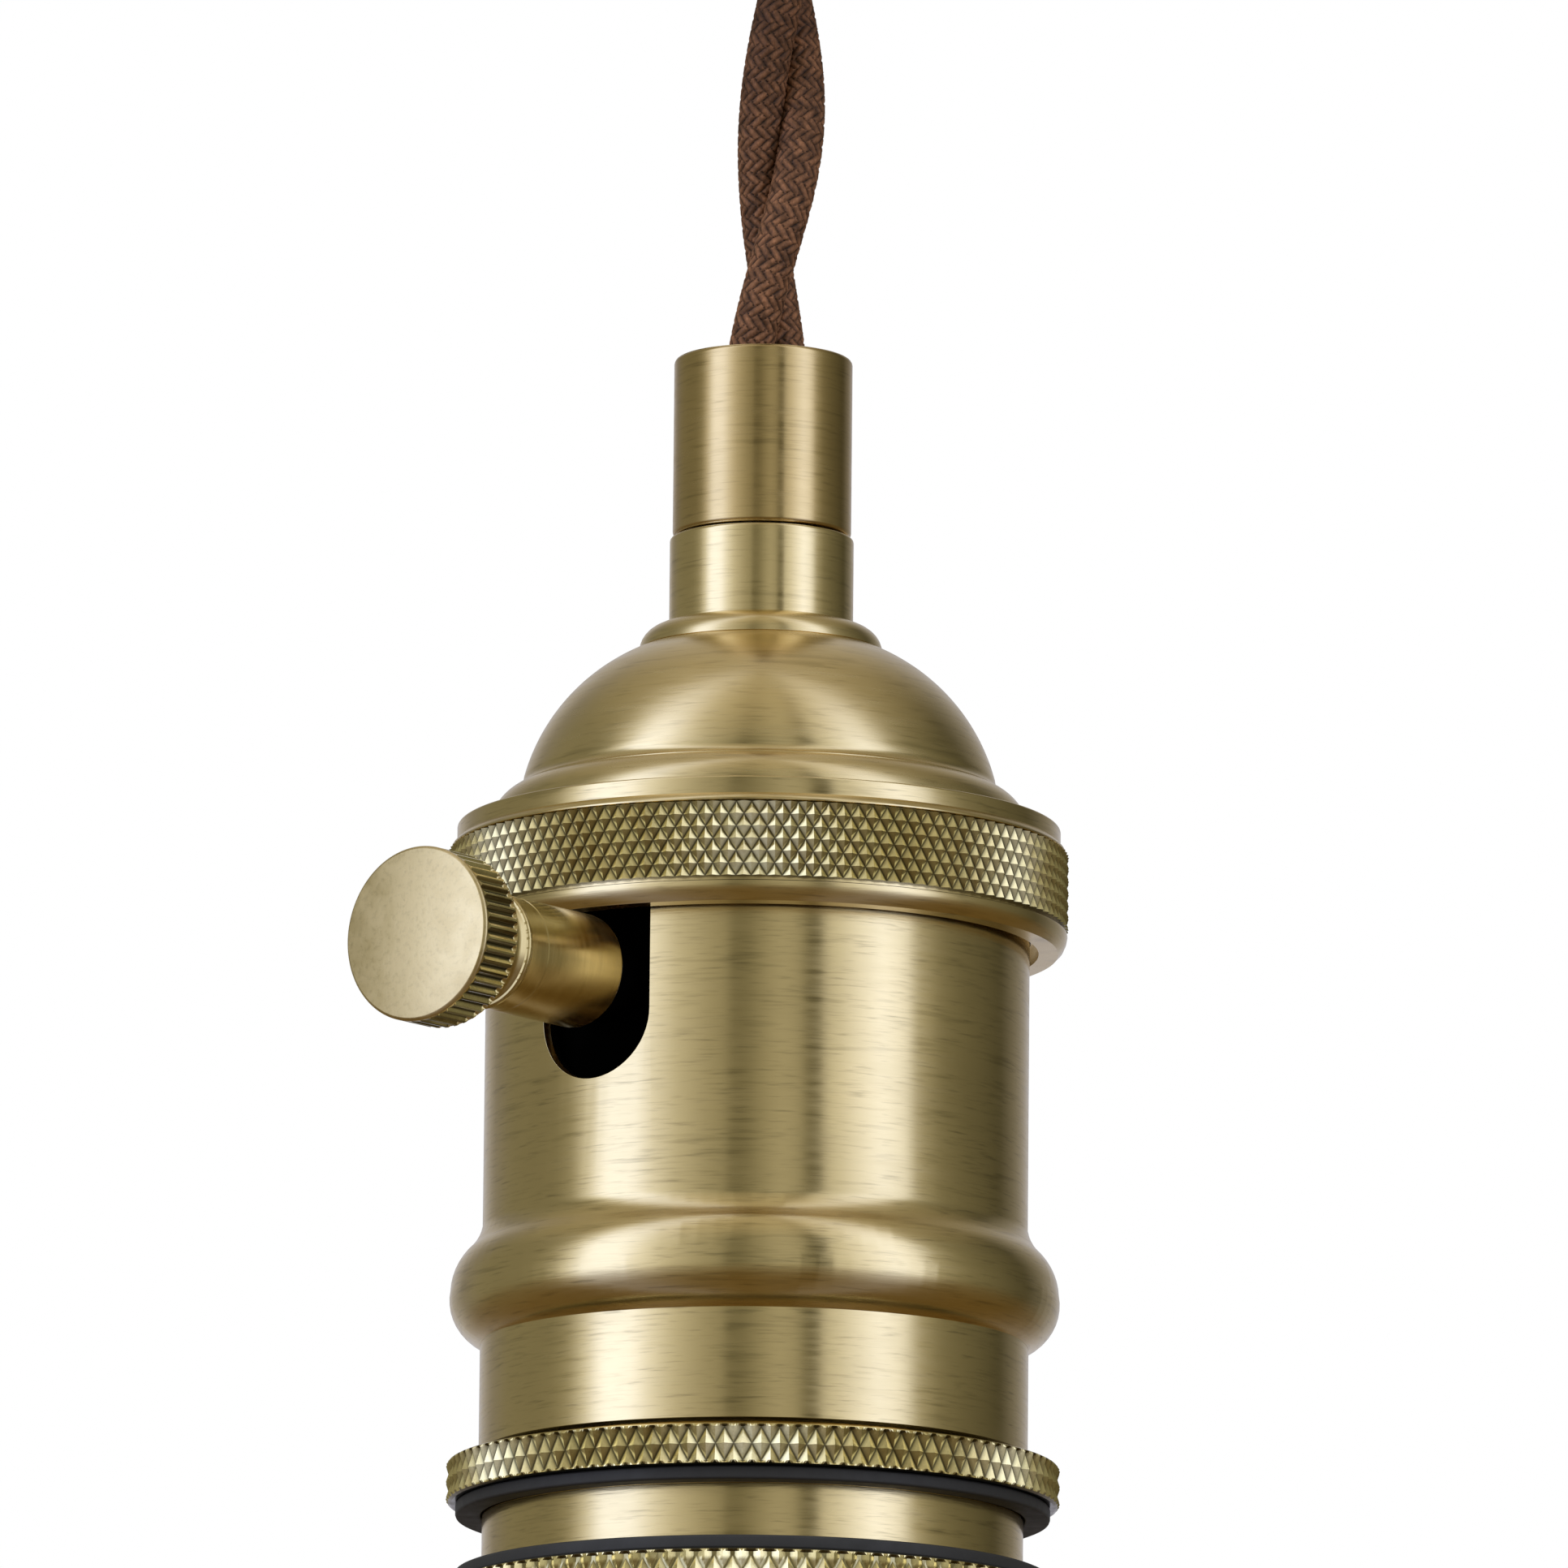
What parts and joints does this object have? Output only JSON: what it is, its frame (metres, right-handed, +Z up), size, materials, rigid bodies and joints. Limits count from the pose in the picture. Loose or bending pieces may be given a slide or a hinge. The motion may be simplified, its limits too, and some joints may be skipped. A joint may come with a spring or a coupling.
{
  "type": "switched pendant lampholder",
  "caption": "Brushed brass lampholder with a turn-knob switch and threaded shade rings, hanging on a twisted braided cord from a small ceiling cup.",
  "frame": {"origin": "centre of the lamp socket's mouth, on the lamp axis", "axes": "+Z up the lamp axis towards the cord, -Y along the switch shaft towards the knob"},
  "size_m": [0.067, 0.0722, 0.1605],
  "materials": {
    "brushed_brass": "satin brushed and lacquered, antique tone",
    "screw_brass": "drawn, bright",
    "steel": "zinc plated",
    "contact_bronze": "sprung phosphor bronze strip, satin",
    "phenolic": "moulded phenolic, satin",
    "nylon": "moulded, matte",
    "fibre": "rolled fibre board, matte",
    "rubber": "moulded rubber, matte",
    "cord_fabric": "braided rayon over a twisted pair",
    "lead_red": "extruded insulation",
    "lead_white": "extruded insulation"
  },
  "bodies": {
    "hanging_core": {"cap": "brushed_brass", "neck_collar": "brushed_brass", "nipple": "steel", "nipple_washer": "steel", "nipple_nut": "steel", "cord": "cord_fabric", "live_lead": "lead_red", "neutral_lead": "lead_white", "socket_body": "phenolic", "screw_shell": "screw_brass", "shell_rivets": "screw_brass", "centre_contact_foot": "contact_bronze", "side_contact_strap": "contact_bronze", "live_contact": "contact_bronze", "live_terminal_screw": "screw_brass", "neutral_terminal_screw": "screw_brass", "switch_housing": "phenolic", "switch_cover": "phenolic", "housing_screws": "steel", "shaft_bush": "phenolic", "detent_spring": "contact_bronze", "ceiling_cup": "brushed_brass", "ceiling_bracket": "steel", "ceiling_side_screws": "brushed_brass", "ceiling_nipple": "steel", "ceiling_nut": "steel", "ceiling_grip": "brushed_brass", "ceiling_terminal_block": "nylon", "ceiling_leads": "lead_white"},
    "lock_ring": {"lock_ring": "brushed_brass"},
    "shell": {"outer_shell": "brushed_brass", "insulating_liner": "fibre"},
    "upper_gasket": {"upper_gasket": "rubber"},
    "upper_shade_ring": {"upper_shade_ring": "brushed_brass"},
    "lower_gasket": {"lower_gasket": "rubber"},
    "lower_shade_ring": {"lower_shade_ring": "brushed_brass"},
    "grip_collet": {"grip_collet": "nylon"},
    "cord_grip": {"cord_grip": "brushed_brass"},
    "knob": {"knob": "brushed_brass", "switch_shaft": "steel", "switch_rotor": "phenolic", "contact_bridge": "contact_bronze", "detent_cam": "nylon", "rotor_clip": "steel"},
    "centre_contact": {"centre_contact_leaf": "contact_bronze"}
  },
  "joints": [
    {"name": "lock_ring_turn", "type": "hinge", "parent": "hanging_core", "child": "lock_ring", "pos_m": [0, 0, 0.059], "axis": [0, 0, 1], "range_deg": [0, 1920]},
    {"name": "shell_travel", "type": "slide", "parent": "hanging_core", "child": "shell", "axis": [0, 0, -1], "range_m": [0, 0.008]},
    {"name": "upper_ring_travel", "type": "slide", "parent": "shell", "child": "upper_gasket", "axis": [0, 0, -1], "range_m": [0, 0.003]},
    {"name": "upper_ring_turn", "type": "hinge", "parent": "upper_gasket", "child": "upper_shade_ring", "pos_m": [0, 0, 0.0147], "axis": [0, 0, -1], "range_deg": [0, 540]},
    {"name": "lower_ring_travel", "type": "slide", "parent": "shell", "child": "lower_gasket", "axis": [0, 0, -1], "range_m": [0, 0.016]},
    {"name": "lower_ring_turn", "type": "hinge", "parent": "lower_gasket", "child": "lower_shade_ring", "pos_m": [0, 0, 0.005], "axis": [0, 0, -1], "range_deg": [0, 2880]},
    {"name": "grip_travel", "type": "slide", "parent": "hanging_core", "child": "grip_collet", "axis": [0, 0, 1], "range_m": [0, 0.005]},
    {"name": "grip_turn", "type": "hinge", "parent": "grip_collet", "child": "cord_grip", "pos_m": [0, 0, 0.0915], "axis": [0, 0, 1], "range_deg": [0, 1800]},
    {"name": "knob_turn", "type": "hinge", "parent": "hanging_core", "child": "knob", "pos_m": [0, 0, 0.0496], "axis": [0, -1, 0], "continuous": true},
    {"name": "centre_contact_flex", "type": "hinge", "parent": "hanging_core", "child": "centre_contact", "pos_m": [-0.006, 0, 0.0263], "axis": [0, -1, 0], "range_deg": [0, 10], "stiffness_Nm_per_rad": 0.1}
  ],
  "couplings": [
    {"joint": "shell_travel", "follows": "lock_ring_turn", "m_per_rad": 0.00023873},
    {"joint": "upper_ring_travel", "follows": "upper_ring_turn", "m_per_rad": 0.00031831},
    {"joint": "lower_ring_travel", "follows": "lower_ring_turn", "m_per_rad": 0.00031831},
    {"joint": "grip_travel", "follows": "grip_turn", "m_per_rad": 0.00015915}
  ]
}
